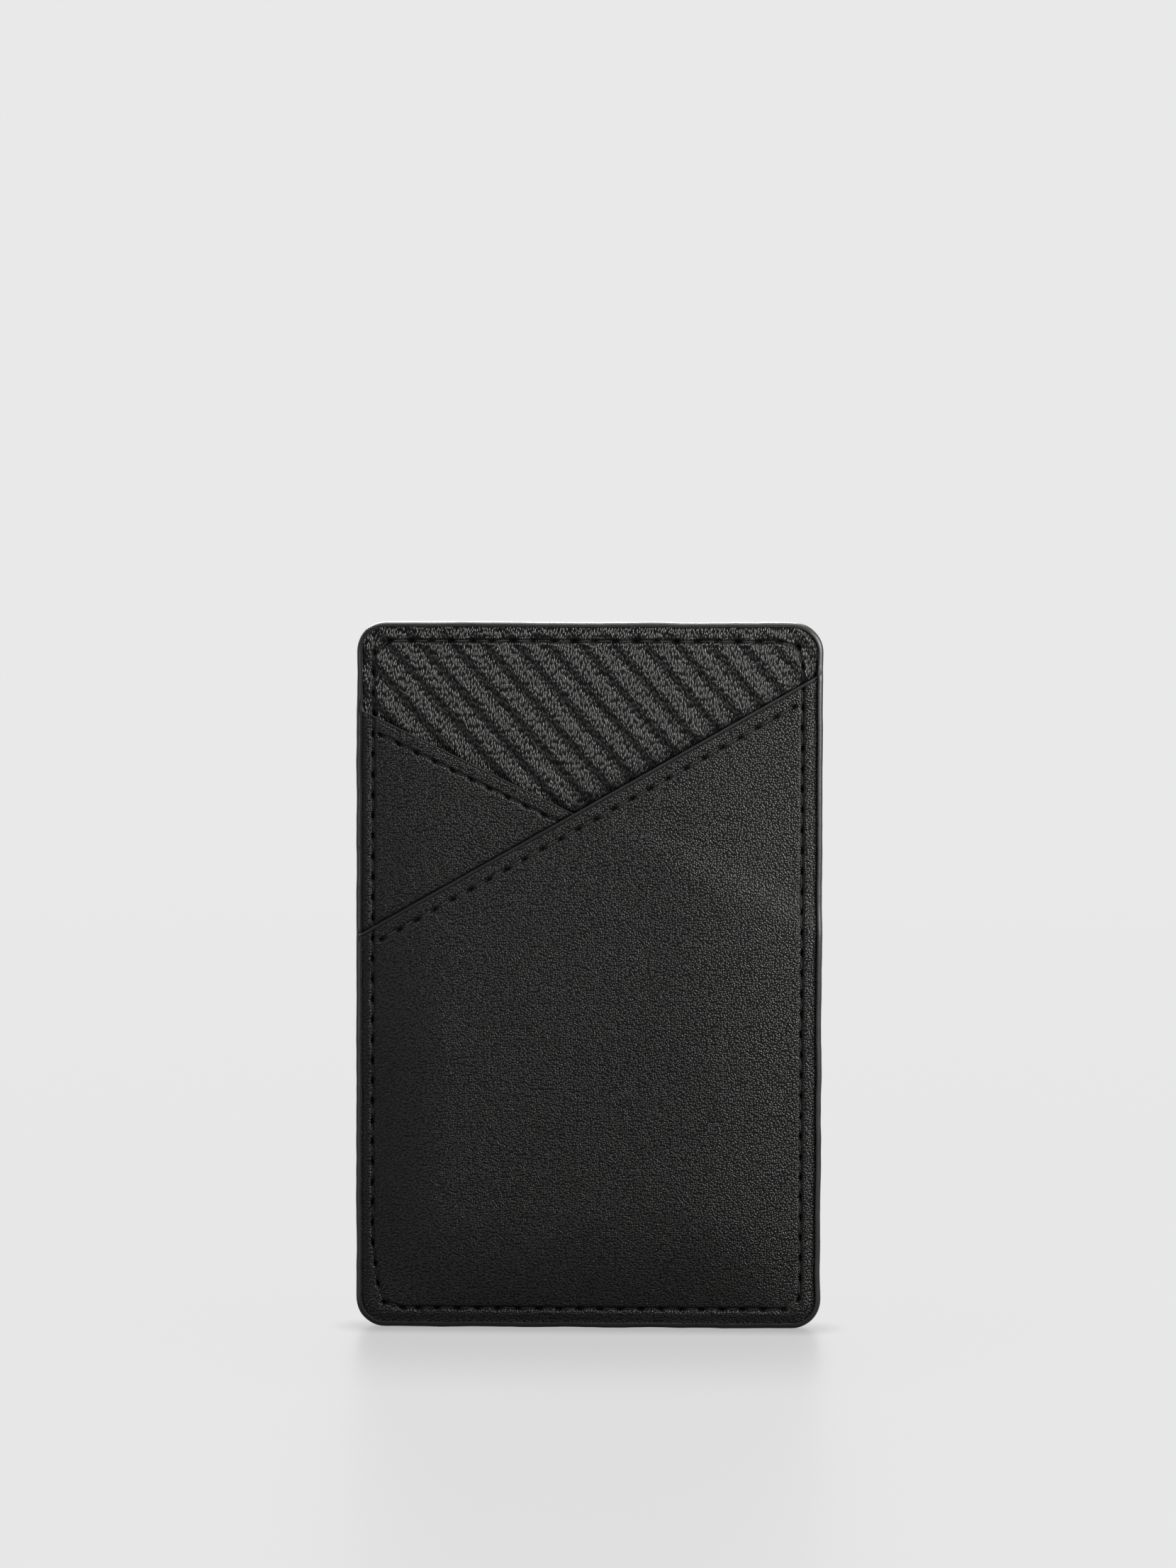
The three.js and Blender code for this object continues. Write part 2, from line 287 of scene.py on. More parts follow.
class Finish:
    """One material, mixed from nodes."""

    def __init__(self, tree):
        self.tree = tree
        self.tree.nodes.clear()

    def node(self, kind, settings, inputs, output=0):
        made = self.tree.nodes.new(kind)
        for setting, value in settings.items():
            setattr(made, setting, value)
        for name, value in inputs.items():
            if isinstance(value, Value):
                self.tree.links.new(value.socket, made.inputs[name])
            else:
                made.inputs[name].default_value = value
        return Value(self, made.outputs[output]) if made.outputs else made

    def millimetres(self):
        place = self.node("ShaderNodeTexCoord", {}, {}, "Object")
        return self.node("ShaderNodeVectorMath", {"operation": "SCALE"}, {0: place, "Scale": 1000})

    def stretched(self, place, scale):
        return self.node("ShaderNodeVectorMath", {"operation": "MULTIPLY"}, {0: place, 1: scale})

    def clouds(self, place, size, detail=2.0, output=0):
        settings = {"noise_dimensions": "3D"}
        inputs = {"Vector": place, "Scale": 1 / size, "Detail": detail}
        return self.node("ShaderNodeTexNoise", settings, inputs, output)

    def wander(self, place, size, amount):
        """The same place, pushed about by up to an amount."""
        push = self.clouds(place, size, output="Color")
        centred = self.node("ShaderNodeVectorMath", {}, {0: push, 1: (-0.5, -0.5, -0.5)})
        scaled = self.node(
            "ShaderNodeVectorMath", {"operation": "SCALE"}, {0: centred, "Scale": 2 * amount}
        )
        return self.node("ShaderNodeVectorMath", {}, {0: place, 1: scaled})

    def grain(self, place, width, length):
        """A skin's close cells over the front and back faces: 1 in their middles, 0 between."""
        split = [self.node("ShaderNodeSeparateXYZ", {}, {0: place}, axis) for axis in "XZ"]
        flat = self.node("ShaderNodeCombineXYZ", {}, {0: split[0], 1: split[1] * (width / length)})
        settings = {"voronoi_dimensions": "2D", "feature": "SMOOTH_F1"}
        inputs = {"Vector": flat, "Scale": 1 / width, "Smoothness": 0.25, "Randomness": 0.9}
        return self.fit(self.node("ShaderNodeTexVoronoi", settings, inputs), 0.68, 0.0)

    def fit(self, value, low, high, start=0.0, end=1.0):
        """Value taken from low..high to start..end, and kept there."""
        inputs = {0: value, 1: low, 2: high, 3: start, 4: end}
        return self.node("ShaderNodeMapRange", {"interpolation_type": "SMOOTHSTEP"}, inputs)

    def blend(self, share, first, second):
        inputs = {0: share, 6: first, 7: second}
        return self.node("ShaderNodeMix", {"data_type": "RGBA"}, inputs, 2)

    def bump(self, height, depth):
        """A bump of a depth in millimetres."""
        inputs = {"Height": height, "Distance": depth / 1000, "Strength": 1.0}
        return self.node("ShaderNodeBump", {}, inputs)

    def surface(self, inputs, unshaded_share=None):
        """The finish itself. Where a share is given, it is mixed towards a flat dark shader as the
        share falls: painted shade.
        """
        shader = self.node("ShaderNodeBsdfPrincipled", {}, inputs)
        if unshaded_share:
            # Painted shade: a nearly black, dull shader that stands in for the shade in creases,
            # holes and gaps.
            matt = {"Base Color": grey(0.004), "Roughness": 0.75, "Specular IOR Level": 0.1}
            matt["Normal"] = inputs["Normal"]
            painted_shade_bsdf = self.node("ShaderNodeBsdfPrincipled", {}, matt)
            shader = self.node("ShaderNodeMixShader", {}, {0: unshaded_share, 1: painted_shade_bsdf, 2: shader})
        self.node("ShaderNodeOutputMaterial", {}, {"Surface": shader})


def new_finish(name):
    material = bpy.data.materials.new(name)
    material.use_nodes = True
    return material, Finish(material.node_tree)


def pebbled_leather(name, pebble, depth):
    """Black calf with a fine pebble: small shiny domes, with painted shade mixed into the creases
    between them.
    """
    material, skin = new_finish(name)
    place = skin.millimetres()
    dome = skin.grain(skin.wander(place, 0.9, 0.14), pebble, pebble)
    fine = skin.clouds(place, 0.16, 2.0)
    broad = skin.clouds(place, 9.0, 3.0)
    height = dome * 0.8 + fine * 0.35 + skin.clouds(place, 1.6, 2.0) * 0.5
    painted_shade = skin.node("ShaderNodeAttribute", {"attribute_name": "painted_shade"}, {}, "Fac")
    skin.surface(
        {
            "Base Color": skin.blend(broad, grey(0.006), grey(0.012, 0.02)),
            "Roughness": 0.46 - dome * 0.12 + (broad - 0.5) * 0.10,
            "Normal": skin.bump(height, depth),
        },
        # Painted shade: the creases between domes, the stitch holes and the strips along mouth
        # edges go towards the flat dark shader.
        skin.fit(dome, -0.6, 0.7) * skin.fit(painted_shade, 0.7, 0.05),
    )
    return material


calf = pebbled_leather("calf", 0.32, 0.1)


def back_outer(x, z):
    groove, hole = seam.pull(x, z)
    roll = 0.22 * (1 - ease(inside(x, z), LEATHER_EDGE, 1.5))
    return BACK_FACE + roll + 0.22 * groove + 0.26 * hole + 0.02 * ripple(x, z, 9)


edge_marks = (LEATHER_EDGE, 1.7, 3.7)
side_marks = [mark - HALF_WIDTH for mark in edge_marks]
side_marks += [-mark for mark in reversed(side_marks)]
tall_marks = [*edge_marks, *(TALL - mark for mark in reversed(edge_marks))]
edge_steps = (0.34, 0.18, 0.42, 0.18, 0.34)
back_across = [along(side_marks, place) for place in spaced(side_marks, edge_steps)]
back = leather_sheet(
    back_across,
    spaced(tall_marks, edge_steps),
    lambda x: tall_marks,
    back_outer,
    lambda x, z: BACK_INSIDE,
    # Painted shade in the seam's stitch holes.
    lambda x, z: seam.pull(x, z)[1],
)
piece("back_leather_panel", back, calf, "back_leather", "back_panel")

# Core board
# A thin fibre board between back and facing, glued to both. It keeps the holder straight.
# It is closed in on all sides, so its CAD shape stays and takes a board's finish.

board, pulp = new_finish("fibre_board")
place = pulp.millimetres()
fibres = pulp.clouds(pulp.stretched(pulp.wander(place, 2.0, 0.5), (1.0, 4.0, 5.0)), 1.4, 4.0)
flecks = pulp.fit(pulp.clouds(place, 0.4, 1.0), 0.62, 0.72)
pulp.surface(
    {
        "Base Color": pulp.blend(
            flecks, pulp.blend(fibres, (0.09, 0.07, 0.05, 1), (0.2, 0.17, 0.13, 1)), grey(0.05)
        ),
        "Roughness": 0.85 - fibres * 0.1,
        "Normal": pulp.bump(fibres + flecks * 0.3, 0.05),
    }
)
board_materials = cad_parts["core_board"].data.materials
board_materials.clear()
board_materials.append(board)

# Ribbed facing
# The leather seen above the pockets and behind them. Ribs are pressed into it that run down
# to the right, and its fine streaked grain lies over them. It is glued to the board.

facing_low, facing_high = span("ribbed_facing")
FACING_TOP = -facing_low.y
FACING_BACK = -facing_high.y
RIB_PITCH = 3.43
RIB_DEPTH = 0.297
RIB_ANGLE = math.radians(49)
FIRST_RIB = RIB_PITCH * math.ceil((2 * HALF_WIDTH + TALL) / RIB_PITCH) / 2
MIDDLE_PAINT_LOW, MIDDLE_PAINT_HIGH = span("middle_mouth_edge_paint")
FRONT_PAINT_LOW, FRONT_PAINT_HIGH = span("front_mouth_edge_paint")
MIDDLE_SLOPE = -0.485
FRONT_SLOPE = 0.5688
MIDDLE_LEAN = math.hypot(1, MIDDLE_SLOPE)
FRONT_LEAN = math.hypot(1, FRONT_SLOPE)


def middle_mouth(x):
    return MIDDLE_PAINT_HIGH.z + MIDDLE_SLOPE * (x - MIDDLE_PAINT_LOW.x)


def front_mouth(x):
    return FRONT_PAINT_HIGH.z + FRONT_SLOPE * (x - FRONT_PAINT_HIGH.x)


def rib(x, z):
    """Depth below the ribs, which rise steeply at the left and fall away to the right."""
    across = x * math.sin(RIB_ANGLE) + (z - TALL / 2) * math.cos(RIB_ANGLE) + FIRST_RIB
    share = (across / RIB_PITCH + 0.015 * ripple(x, z, 12)) % 1
    return 1 - ease(share, 0.0, 0.47) + ease(share, 0.4, 1.0)


def facing_smooth(x, z):
    within = ease(inside(x, z), 2.0, 3.6)
    roll = 0.15 * (1 - ease(inside(x, z), LEATHER_EDGE, 1.4))
    return FACING_TOP - roll - RIB_DEPTH * rib(x, z) * (0.8 + 0.2 * within)


def facing_outer(x, z):
    groove, hole = seam.pull(x, z)
    return facing_smooth(x, z) - 0.24 * groove - 0.26 * hole + 0.03 * ripple(x, z, 7)


def facing_painted_shade(x, z):
    """Painted shade in the stitch holes, and a painted shadow along each mouth's edge where it
    lies over the facing.
    """
    painted_lip_shadow = max(bell(z - front_mouth(x), 0.25), 0.6 * bell(z - middle_mouth(x), 0.25))
    return max(seam.pull(x, z)[1], 0.7 * painted_lip_shadow)


def ribbed_leather(name):
    """Black calf with a streaked grain: short upright wavy ridges that catch the light."""
    material, skin = new_finish(name)
    place = skin.millimetres()
    ridge = skin.grain(skin.wander(place, 0.7, 0.07), 0.22, 0.75)
    fine = skin.clouds(place, 0.12, 2.0)
    broad = skin.clouds(place, 6.0, 3.0)
    painted_shade = skin.node("ShaderNodeAttribute", {"attribute_name": "painted_shade"}, {}, "Fac")
    skin.surface(
        {
            "Base Color": skin.blend(broad, grey(0.008), grey(0.016, 0.02)),
            "Roughness": 0.36 - ridge * 0.08 + (broad - 0.5) * 0.12,
            "Normal": skin.bump(ridge + fine * 0.2, 0.09),
        },
        # Painted shade: the valleys between streaks, the stitch holes and the strips along mouth
        # edges go towards the flat dark shader.
        skin.fit(ridge, -0.3, 0.7) * skin.fit(painted_shade, 0.7, 0.05),
    )
    return material


facing_marks = (LEATHER_EDGE, 20, 66, *(TALL - mark for mark in reversed(edge_marks)))
facing = leather_sheet(
    [along(side_marks, place) for place in spaced(side_marks, (0.3, 0.15, 0.28, 0.15, 0.3))],
    spaced(facing_marks, (4, 3, 0.28, 0.15, 0.3)),
    lambda x: facing_marks,
    facing_outer,
    lambda x, z: FACING_BACK,
    facing_painted_shade,
)
ribbed = ribbed_leather("ribbed_calf")
piece("ribbed_facing_leather", facing, ribbed, "ribbed_leather", "ribbed_facing")

# Middle pocket
# A panel of pebbled calf over the facing, with a thin woven lining glued inside it. Its mouth
# falls to the right and runs on behind the front pocket. It is sewn and painted along the mouth.

front_low, _ = span("front_pocket_panel")
LEATHER = 0.65
LINED = 0.75
GLUE = 0.05
MIDDLE_MARGIN = FACING_TOP + GLUE + LINED
FRONT_MARGIN = MIDDLE_MARGIN + GLUE + LINED
FRONT_CROWN = -front_low.y
MIDDLE_PAINT = 0.24
FRONT_PAINT = 0.42
CREASE = 0.14
MOUTH_STITCH = 2.87
SEAM_LEFT = seam_low.x + HALF_THREAD
SEAM_RIGHT = seam_high.x - HALF_THREAD
SEAM_BOTTOM = seam_low.z + HALF_THREAD


def swell(distance, reach):
    """How far leather has come up off a sewn line, from 0 to 1."""
    return 1 - (1 - min(1, max(0, distance / reach))) ** 2


def puff(x, z):
    sides = swell(x - SEAM_LEFT, 11) * swell(SEAM_RIGHT - x, 18)
    return sides * swell(z - SEAM_BOTTOM, 15)


def under_middle_mouth(x, z):
    return (middle_mouth(x) - z) / MIDDLE_LEAN


def under_front_mouth(x, z):
    return (front_mouth(x) - z) / FRONT_LEAN


def mouth_row(mouth, lean, drop, left, right):
    """The holes of the row of stitches a little under a mouth."""
    ends = [Vector((x, mouth(x) - drop * lean)) for x in (left, right)]
    holes = paced(ends, MOUTH_STITCH)
    for hole in holes:
        hole += 0.05 * Vector((ripple(hole.x, hole.y, 2.3), ripple(hole.x, hole.y, 2.9, 3)))
    return StitchRow(holes, math.radians(-16))


middle_row = mouth_row(middle_mouth, MIDDLE_LEAN, 2.0, -29.6, 27)


def middle_smooth(x, z):
    under = under_middle_mouth(x, z)
    roll = 0.25 * (1 - ease(inside(x, z), LEATHER_EDGE, 1.4))
    lift = 0.5 * puff(x, z) * (0.5 + 0.5 * swell(under, 20))
    crease = 0.1 * bell(under - MIDDLE_PAINT, CREASE)
    return MIDDLE_MARGIN + lift - roll - crease


def middle_outer(x, z):
    groove, hole = seam.pull(x, z)
    row, row_hole = middle_row.pull(x, z)
    pulled = 0.26 * groove + 0.28 * hole + 0.2 * row + 0.3 * row_hole
    return middle_smooth(x, z) - pulled + 0.03 * ripple(x, z, 8, 2)


def middle_painted_shade(x, z):
    # Painted shade in the stitch holes, and a painted shadow along the front mouth's edge where it
    # lies over this pocket.
    painted_lip_shadow = 0.7 * bell(z - front_mouth(x), 0.35)
    return max(seam.pull(x, z)[1], middle_row.pull(x, z)[1], painted_lip_shadow)


def middle_marks(x):
    mouth = middle_mouth(x)
    edge = mouth - MIDDLE_PAINT * MIDDLE_LEAN
    return LEATHER_EDGE, 10, mouth - 36, mouth - 3.2, edge


pocket_side_marks = (side_marks[0], -31.3, -29.4, 6, side_marks[-1])
middle_across = spaced(pocket_side_marks, (0.3, 0.14, 0.34, 1.5))
middle_across = [along(pocket_side_marks, place) for place in middle_across]
middle_up = spaced(middle_marks(-20), (2.5, 2.5, 0.34, 0.13))
middle = leather_sheet(
    middle_across,
    middle_up,
    middle_marks,
    middle_outer,
    lambda x, z: middle_smooth(x, z) - LEATHER,
    middle_painted_shade,
)
piece("middle_pocket_leather", middle, calf, "pocket_leather", "middle_pocket_panel")

lining, weave = new_finish("woven_lining")
place = weave.millimetres()
warp = weave.node("ShaderNodeTexWave", {"bands_direction": "X"}, {"Vector": place, "Scale": 0.9})
weft = weave.node("ShaderNodeTexWave", {"bands_direction": "Z"}, {"Vector": place, "Scale": 0.9})
slubs = weave.clouds(place, 0.8, 3.0)
weave.surface(
    {
        "Base Color": weave.blend(warp * weft + slubs * 0.4, grey(0.012), grey(0.03)),
        "Roughness": 0.8 - slubs * 0.15,
        "Normal": weave.bump(warp + weft + slubs, 0.03),
    }
)


def glued_lining(marks, smooth):
    """A thin sheet glued to the inside of a pocket's leather."""
    return leather_sheet(
        [along(side_marks, place) for place in spaced(side_marks, (1, 1, 1.6, 1, 1))],
        spaced(marks(0), (1.6,) * (len(marks(0)) - 1)),
        marks,
        lambda x, z: smooth(x, z) - LEATHER - 0.005,
        lambda x, z: smooth(x, z) - LINED,
    )


middle_inside = glued_lining(middle_marks, middle_smooth)
piece("middle_pocket_inner_lining", middle_inside, lining, "lining", "middle_pocket_lining")


def painted_edge(name):
    """Satin acrylic edge paint: it levels itself into a smooth bead and scuffs a little."""
    material, coat = new_finish(name)
    place = coat.millimetres()
    broad = coat.clouds(place, 3.0, 3.0)
    scuff = coat.clouds(place, 0.5, 3.0)
    coat.surface(
        {
            "Base Color": coat.blend(broad, grey(0.018), grey(0.028)),
            "Roughness": 0.40 + (broad - 0.5) * 0.12 + coat.fit(scuff, 0.58, 0.75) * 0.2,
            "Normal": coat.bump(broad * 0.6 + scuff * 0.25, 0.06),
        }
    )
    return material


paint = painted_edge("edge_paint")


def mouth_paint(mouth, lean, smooth, paint_width):
    """The rounded bead of paint over a mouth's cut edge, from side to side."""
    slope = mouth(1) - mouth(0)
    length, rounds = 150, 14
    bead = bmesh.new()
    bmesh.ops.create_grid(bead, x_segments=length, y_segments=rounds, size=0.5)
    for vertex in bead.verts:
        x = 2 * side_reach * vertex.co.x
        turn = math.tau * round((vertex.co.y + 0.5) * rounds) / rounds
        edge_z = mouth(x) - paint_width * lean
        middle_of_edge = smooth(x, edge_z) + 0.06 - LINED / 2
        out = math.copysign(abs(math.cos(turn)) ** 0.7, math.cos(turn))
        up = math.copysign(abs(math.sin(turn)) ** 0.7, math.sin(turn))
        bulge = paint_width / 2 * (1 + out) + 0.02 * ripple(x, 0, 4) - 0.02
        step = Vector((-slope, 1)) / lean * bulge
        rise = middle_of_edge + up * (LINED / 2 + 0.03)
        vertex.co = (x + step.x, -rise, edge_z + step.y)
    bmesh.ops.remove_doubles(bead, verts=bead.verts, dist=1e-4)
    bmesh.ops.holes_fill(bead, edges=bead.edges, sides=rounds)
    return bead


side_reach = HALF_WIDTH - LEATHER_EDGE + 0.15
middle_bead = mouth_paint(middle_mouth, MIDDLE_LEAN, middle_smooth, MIDDLE_PAINT)
piece("middle_mouth_paint", middle_bead, paint, "edge_paint", "middle_mouth_edge_paint")

thread, strand = new_finish("sewing_thread")
twist = strand.node("ShaderNodeUVMap", {"uv_map": "twist"}, {})
diagonal = {"bands_direction": "DIAGONAL"}
plies = strand.node("ShaderNodeTexWave", diagonal, {"Vector": twist, "Scale": 2})
fuzz = strand.clouds(strand.millimetres(), 0.09, 2.0)
strand.surface(
    {
        "Base Color": strand.blend(plies, grey(0.006), grey(0.02)),
        "Roughness": 0.5 + fuzz * 0.15,
        "Normal": strand.bump(plies + fuzz * 0.4, 0.05),
    }
)


THREAD = 0.13


def sewn(row, surface, side=1, sink=0.2):
    """Every stitch of a row: a thread that comes up, lies on the leather and goes down again."""
    stitches = bmesh.new()
    twist_map = stitches.loops.layers.uv.new("twist")
    for start, end in row.stitches:
        along_way = (end - start).normalized()
        across_way = Vector((-along_way.y, along_way.x))
        middle, half = (start + end) / 2, (end - start).length / 2 - 0.22
        made = bmesh.ops.create_uvsphere(stitches, u_segments=8, v_segments=8, radius=1)["verts"]
        turns = {}
        for vertex in made:
            turns[vertex] = (math.atan2(vertex.co.y, vertex.co.x) / math.tau, vertex.co.z)
            share = vertex.co.z
            thick = THREAD * (1 - share**4) ** 0.5
            ring = Vector((vertex.co.x, vertex.co.y))
            ring = ring.normalized() * thick if ring.length > 1e-3 else Vector((0, 0))
            point = middle + along_way * share * half + across_way * (ring.x + 0.05 * share)
            rise = surface(point.x, point.y) - side * (sink + 0.4 * abs(share) ** 3)
            vertex.co = (point.x, -(rise + side * ring.y), point.y)
        for face in {face for vertex in made for face in vertex.link_faces}:
            first = turns[face.loops[0].vert][0]
            for loop in face.loops:
                turn, share = turns[loop.vert]
                turn += round(first - turn)
                loop[twist_map].uv = (turn, share * 4)
    return stitches


needle = sewn(middle_row, middle_smooth)
piece("middle_mouth_stitches", needle, thread, "thread", "middle_mouth_needle_thread")
bobbin = sewn(middle_row, lambda x, z: middle_smooth(x, z) - LINED, -1, 0.02)
piece("middle_mouth_inner_stitches", bobbin, thread, "thread", "middle_mouth_bobbin_thread")

# Front pocket
# The large panel of pebbled calf with its lining, over the middle pocket. Its mouth rises to
# the right. The hidden end of the middle mouth shows through it as a soft ridge on the right.


def front_margin(x, z):
    """The sewn edge lies lower where the middle pocket has ended behind it."""
    over = -under_middle_mouth(x, z)
    fall = 0.65 * ease(over, -0.8, 4.5) + 0.35 * ease(over, -0.8, 16)
    return FRONT_MARGIN - (FRONT_MARGIN - MIDDLE_MARGIN) * ease(x, -4, 28) * fall


front_row = mouth_row(front_mouth, FRONT_LEAN, 2.1, -29.4, 28.8)


def front_smooth(x, z):
    under = under_front_mouth(x, z)
    roll = 0.3 * (1 - ease(inside(x, z), LEATHER_EDGE, 2.3))
    lift = (FRONT_CROWN - FRONT_MARGIN) * puff(x, z) * (0.36 + 0.64 * swell(under, 34))
    crease = 0.14 * bell(under - FRONT_PAINT, CREASE)
    return front_margin(x, z) + lift - roll - crease


def front_outer(x, z):
    groove, hole = seam.pull(x, z)
    row, row_hole = front_row.pull(x, z)
    pulled = 0.26 * groove + 0.28 * hole + 0.2 * row + 0.34 * row_hole
    return front_smooth(x, z) - pulled + 0.035 * ripple(x, z, 9, 4)


def front_painted_shade(x, z):
    # Painted shade in the stitch holes of the seam and of the mouth row.
    return max(seam.pull(x, z)[1], front_row.pull(x, z)[1])


def front_marks(x):
    mouth = front_mouth(x)
    edge = mouth - FRONT_PAINT * FRONT_LEAN
    return LEATHER_EDGE, 2.0, 3.6, mouth - 22, mouth - 3.4, edge


front_side_marks = (side_marks[0], -31.3, -29.4, 29.2, 30.8, side_marks[-1])
front_across = spaced(front_side_marks, (0.3, 0.14, 0.4, 0.14, 0.3))
front = leather_sheet(
    [along(front_side_marks, place) for place in front_across],
    spaced(front_marks(0), (0.3, 0.15, 0.42, 0.42, 0.14)),
    front_marks,
    front_outer,
    lambda x, z: front_smooth(x, z) - LEATHER,
    front_painted_shade,
)
piece("front_pocket_leather", front, calf, "pocket_leather", "front_pocket_panel")
front_inside = glued_lining(front_marks, front_smooth)
piece("front_pocket_inner_lining", front_inside, lining, "lining", "front_pocket_lining")
front_bead = mouth_paint(front_mouth, FRONT_LEAN, front_smooth, FRONT_PAINT)
piece("front_mouth_paint", front_bead, paint, "edge_paint", "front_mouth_edge_paint")
needle = sewn(front_row, front_smooth)
piece("front_mouth_stitches", needle, thread, "thread", "front_mouth_needle_thread")
bobbin = sewn(front_row, lambda x, z: front_smooth(x, z) - LINED, -1, 0.02)
piece("front_mouth_inner_stitches", bobbin, thread, "thread", "front_mouth_bobbin_thread")

# Perimeter edge paint
# One band of satin edge paint over the cut edges of all layers, all the way round. It stands
# a little proud as a bead and steps down where a pocket's layers end.


def stack_front(x, z):
    """The front of the layers at the rim."""
    under_front = ease(under_front_mouth(x, z), -0.5, 0.5)
    under_middle = ease(under_middle_mouth(x, z), -0.5, 0.5)
    behind = FACING_TOP + (MIDDLE_MARGIN - FACING_TOP) * under_middle
    return behind + (front_margin(x, z) - behind) * under_front


SHOULDER = 0.68


def rim_section(place, x, z):
    """The inset and height of the rim's closed section at a place round it, from 0 to 1."""
    top, bottom = stack_front(x, z), BACK_FACE
    if place < 0.4:
        turn = math.pi / 2 * (1 - place / 0.4)
        return SHOULDER * (1 - math.cos(turn)), bottom + SHOULDER * (1 - math.sin(turn))
    if place <= 0.8:
        turn = math.pi / 2 * (place / 0.4 - 1)
        return SHOULDER * (1 - math.cos(turn)), top - SHOULDER * (1 - math.sin(turn))
    share = (place - 0.8) / 0.2
    return 0.9, top - 0.35 - (top - bottom - 0.7) * share


rim_path = paced(round_path(-HALF_WIDTH, HALF_WIDTH, 0, TALL, CORNER), 0.55)
rim_rounds = 25
rim = bmesh.new()
bmesh.ops.create_grid(rim, x_segments=len(rim_path) - 1, y_segments=rim_rounds, size=0.5)
for vertex in rim.verts:
    point = rim_path[round((vertex.co.x + 0.5) * (len(rim_path) - 1))]
    corner_x = max(abs(point.x) - (HALF_WIDTH - CORNER), 0)
    corner_z = max(abs(point.y - TALL / 2) - (TALL / 2 - CORNER), 0)
    out = Vector((math.copysign(corner_x, point.x), math.copysign(corner_z, point.y - TALL / 2)))
    out = out.normalized()
    place = round((vertex.co.y + 0.5) * rim_rounds) / rim_rounds
    inset, rise = rim_section(place % 1, point.x, point.y)
    uneven = 0.1 * ripple(point.x, point.y, 6) + 0.04 * ripple(point.x, point.y, 2, 7)
    spot = point - out * (inset - uneven + 0.04)
    vertex.co = (spot.x, -rise - 0.05 * ripple(spot.x, spot.y, 5, 9), spot.y)
bmesh.ops.remove_doubles(rim, verts=rim.verts, dist=1e-4)
piece("rim_paint", rim, paint, "edge_paint", "perimeter_edge_paint")

# Perimeter threads
# One closed seam of black thread round the edge, about 2.9 mm a stitch, through every layer.
# The upper thread shows on the front, the lower one on the back.


def topmost(x, z):
    if under_front_mouth(x, z) > FRONT_PAINT:
        return front_smooth(x, z)
    if under_middle_mouth(x, z) > MIDDLE_PAINT:
        return middle_smooth(x, z)
    return facing_smooth(x, z)


upper = sewn(seam, topmost)
piece("perimeter_stitches", upper, thread, "thread", "perimeter_needle_thread")
lower = sewn(seam, lambda x, z: BACK_FACE, -1)
piece("perimeter_back_stitches", lower, thread, "thread", "perimeter_bobbin_thread")

# Studio
# A smooth white table that runs into a white surround. A soft light stands close on the right,
# one hangs overhead, one lights the back and one fills the low left. The lens is long.

WHITE = 0.815

ground = bmesh.new()
bmesh.ops.create_circle(ground, cap_ends=True, segments=96, radius=3.0)
ground_mesh = bpy.data.meshes.new("table_top")
ground.to_mesh(ground_mesh)
ground.free()
table_top = bpy.data.objects.new("table_top", ground_mesh)
bpy.context.scene.collection.objects.link(table_top)
table_top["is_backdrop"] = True

white, sweep = new_finish("white_table")
place = sweep.node("ShaderNodeTexCoord", {}, {}, "Object")
distance = sweep.node("ShaderNodeVectorMath", {"operation": "LENGTH"}, {0: place}, "Value")
near = sweep.fit(distance, 0.9, 0.15)

# The gap to the holder's base, for the shade right at it and the clearer reflection around it.
sideways = sweep.node("ShaderNodeSeparateXYZ", {}, {0: place}, "X")
beyond = sideways.math("MAXIMUM", sideways.math("ABSOLUTE", sideways) - 0.03, 0.0)
depth = sweep.node("ShaderNodeSeparateXYZ", {}, {0: place}, "Y")
gap = (beyond * beyond + depth * depth) ** 0.5
touch = sweep.fit(gap, 0.008, 0.001)
seen = sweep.node("ShaderNodeLightPath", {}, {}, "Is Camera Ray")
brightness = seen * (0.84 - touch * 0.25) + 0.16
glow_inputs = {"Color": sweep.blend(brightness, grey(0.0), grey(WHITE)), "Strength": 1.0}
glow = sweep.node("ShaderNodeEmission", {}, glow_inputs)
matt = sweep.node("ShaderNodeBsdfDiffuse", {}, {"Color": grey(0.8)})
shine = sweep.node("ShaderNodeBsdfGlossy", {}, {"Color": grey(1.0), "Roughness": 0.34})
lit = sweep.node("ShaderNodeMixShader", {}, {0: near * 0.02, 1: glow, 2: matt})
gloss = near * 0.09 + sweep.fit(gap, 0.06, 0.01) * 0.16
polished = sweep.node("ShaderNodeMixShader", {}, {0: gloss, 1: lit, 2: shine})
sweep.node("ShaderNodeOutputMaterial", {}, {"Surface": polished})
ground_mesh.materials.append(white)

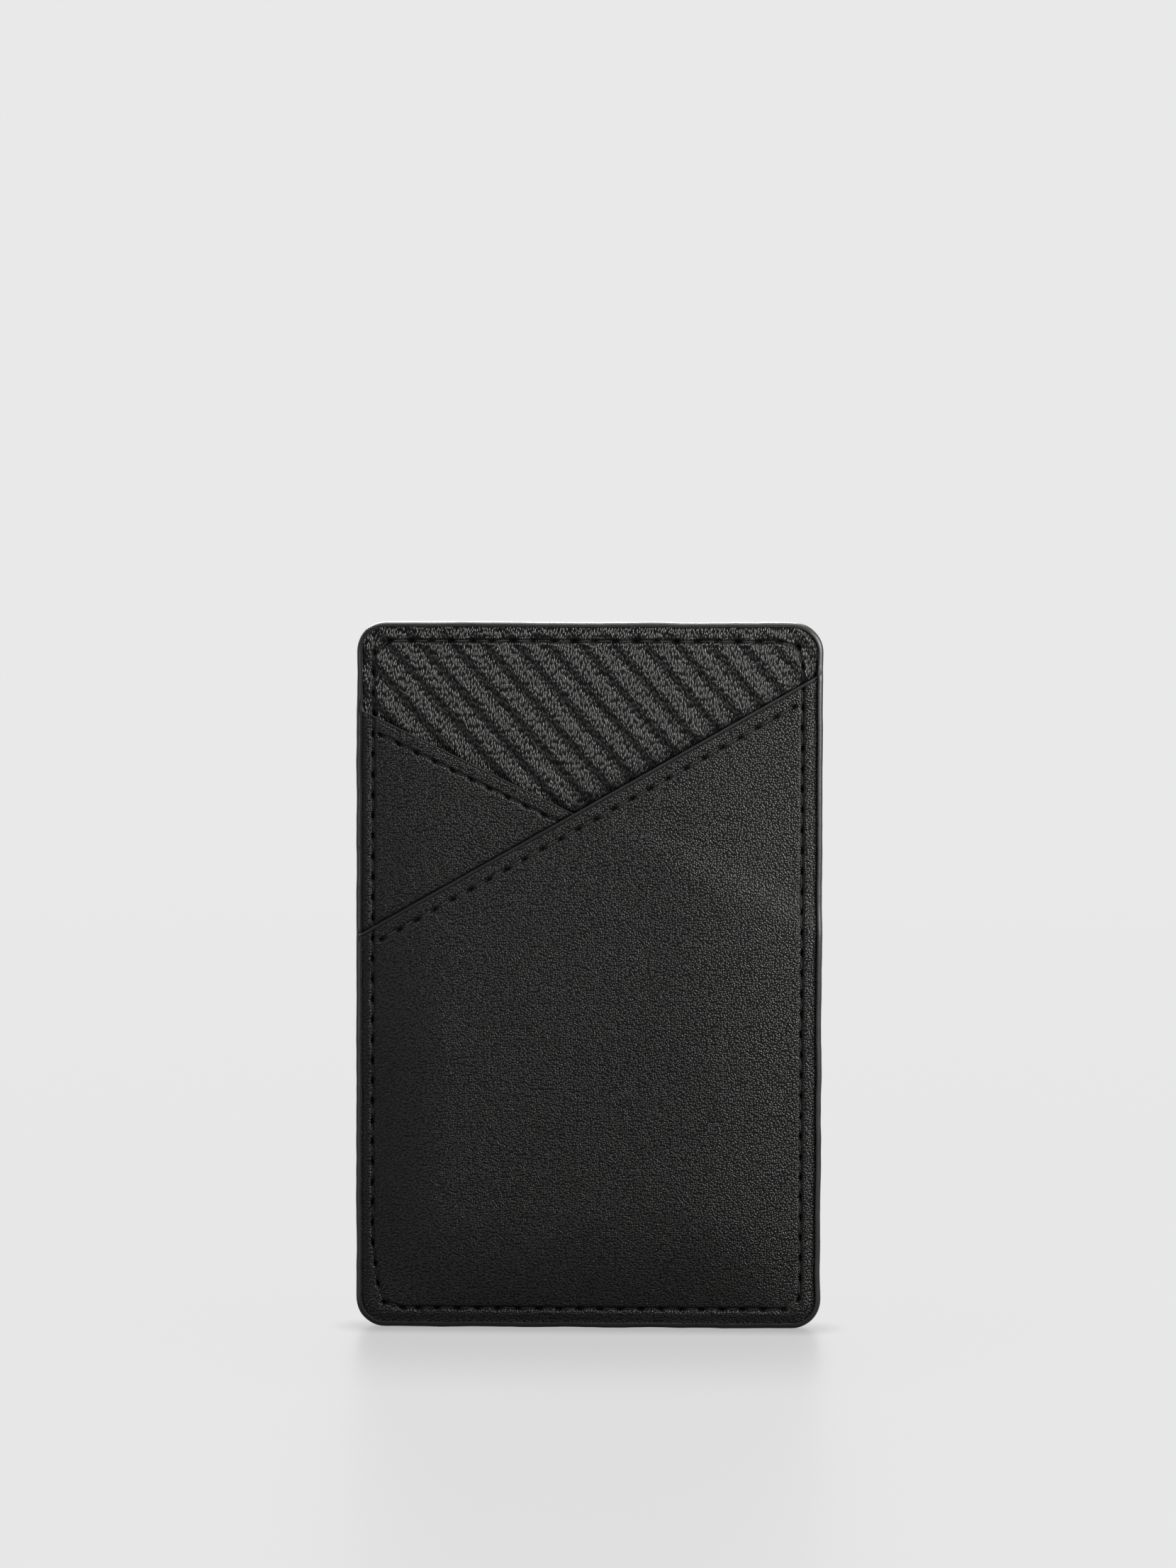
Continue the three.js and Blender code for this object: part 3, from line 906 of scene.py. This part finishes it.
world = bpy.data.worlds.new("white_surround")
bpy.context.scene.world = world
world.use_nodes = True
air = Finish(world.node_tree)
direction = air.node("ShaderNodeTexCoord", {}, {}, "Generated")
right, behind, up = [
    air.node("ShaderNodeSeparateXYZ", {}, {"Vector": direction}, axis) for axis in "XYZ"
]
left_glow = air.fit(right, -0.85, -0.98, 0.0, 0.8)
around = air.fit(behind + up * 0.25, 0.3, 0.9, 0.0, WHITE) + left_glow
seen = air.node("ShaderNodeLightPath", {}, {}, "Is Camera Ray")
strength = around + seen * (WHITE - around)
sky = air.node("ShaderNodeBackground", {}, {"Color": grey(1.0), "Strength": strength})
air.node("ShaderNodeOutputWorld", {}, {"Surface": sky})

holder_only = bpy.data.collections.new("holder_only")
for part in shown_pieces():
    holder_only.objects.link(part)


def softbox(name, place, aim, size, power, warmth=0.0):
    """A soft light that falls on the holder and leaves the white table even."""
    lamp = bpy.data.lights.new(name, "AREA")
    lamp.shape = "RECTANGLE"
    lamp.size, lamp.size_y = size
    lamp.energy = power
    lamp.color = grey(1.0, warmth)[:3]
    made = bpy.data.objects.new(name, lamp)
    made.location = place
    made.rotation_euler = (Vector(aim) - Vector(place)).to_track_quat("-Z", "Y").to_euler()
    bpy.context.scene.collection.objects.link(made)
    made.light_linking.receiver_collection = holder_only


softbox("key_light", (0.20, -0.095, 0.14), (0, 0, 0.06), (0.12, 0.12), 0.82, 0.02)
softbox("overhead_light", (0.0, -0.03, 0.60), (0, 0, 0.06), (0.5, 0.2), 2.2)
softbox("back_light", (-0.1, 0.35, 0.45), (0, 0, 0.06), (0.4, 0.3), 7.0)
softbox("low_fill", (-0.30, -0.22, 0.03), (0, 0, 0.03), (0.15, 0.1), 0.3)

camera = bpy.data.cameras.new("camera")
camera.lens = 121.8
camera.sensor_width = 36
camera_object = bpy.data.objects.new("camera", camera)
bpy.context.scene.collection.objects.link(camera_object)
bpy.context.scene.camera = camera_object
aim = Vector((-0.0002, 0, 0.0774))
height, side = math.radians(3.5), math.radians(1.2)
level = Vector((math.sin(side), -math.cos(side), math.tan(height)))
camera_object.location = aim + 0.75 * level.normalized()
camera_object.rotation_mode = "QUATERNION"
lean = Quaternion((0, 0, 1), math.radians(0.15))
camera_object.rotation_quaternion = (-level).to_track_quat("-Z", "Y") @ lean
bpy.context.scene.view_settings.view_transform = "Standard"
